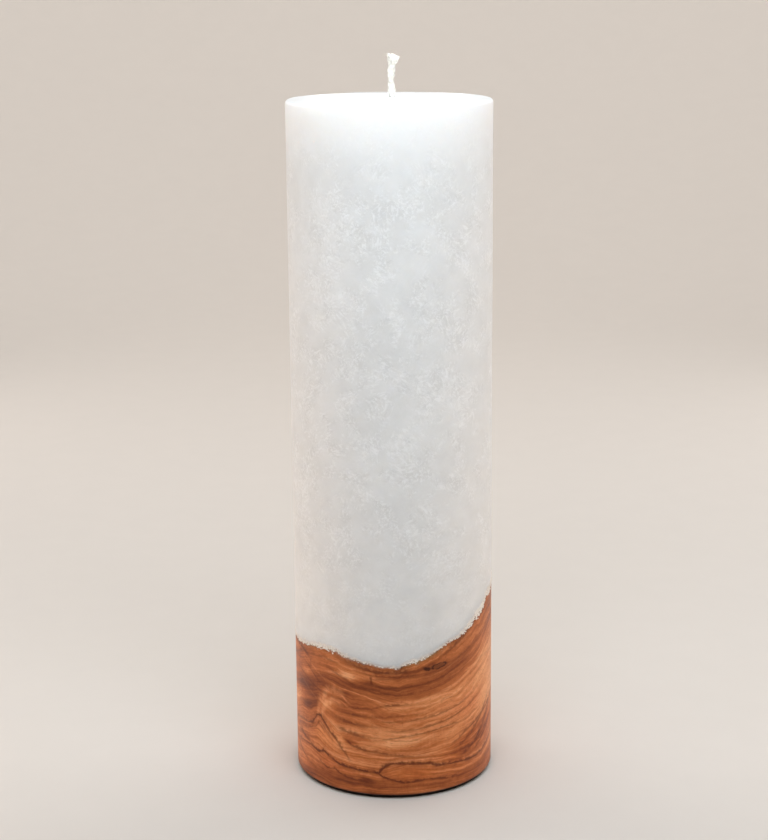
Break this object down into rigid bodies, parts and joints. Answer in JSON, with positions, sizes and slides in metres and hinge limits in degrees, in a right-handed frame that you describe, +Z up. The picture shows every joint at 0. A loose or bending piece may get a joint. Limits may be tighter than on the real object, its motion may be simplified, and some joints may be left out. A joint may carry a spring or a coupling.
{
  "type": "unity candle",
  "caption": "Pillar unity candle: white cast wax poured onto a live-edge olive-wood base turned to the same diameter, with a braided cotton wick and a felt foot.",
  "frame": {"origin": "centre of the flat face that the candle stands on, under the felt", "axes": "+Z up along the pillar; the lowest point of the wood's live edge faces -Y and the edge climbs towards +X"},
  "size_m": [0.0806, 0.0806, 0.2907],
  "materials": {
    "felt": "pressed dark brown felt",
    "olive_wood": "turned olive wood, oiled to a satin sheen, with dark figure and a thin bark line",
    "cup_tinplate": "drawn tinplate",
    "sustainer_tinplate": "stamped tinplate",
    "cotton": "braided cotton primed with wax",
    "wax": "satin white wax with faint feathery crystals"
  },
  "bodies": {
    "root": {"felt_pad": "felt", "wood_base": "olive_wood", "insert_cup": "cup_tinplate", "wick_sustainer": "sustainer_tinplate", "wick": "cotton", "wax_body": "wax"}
  },
  "joints": []
}
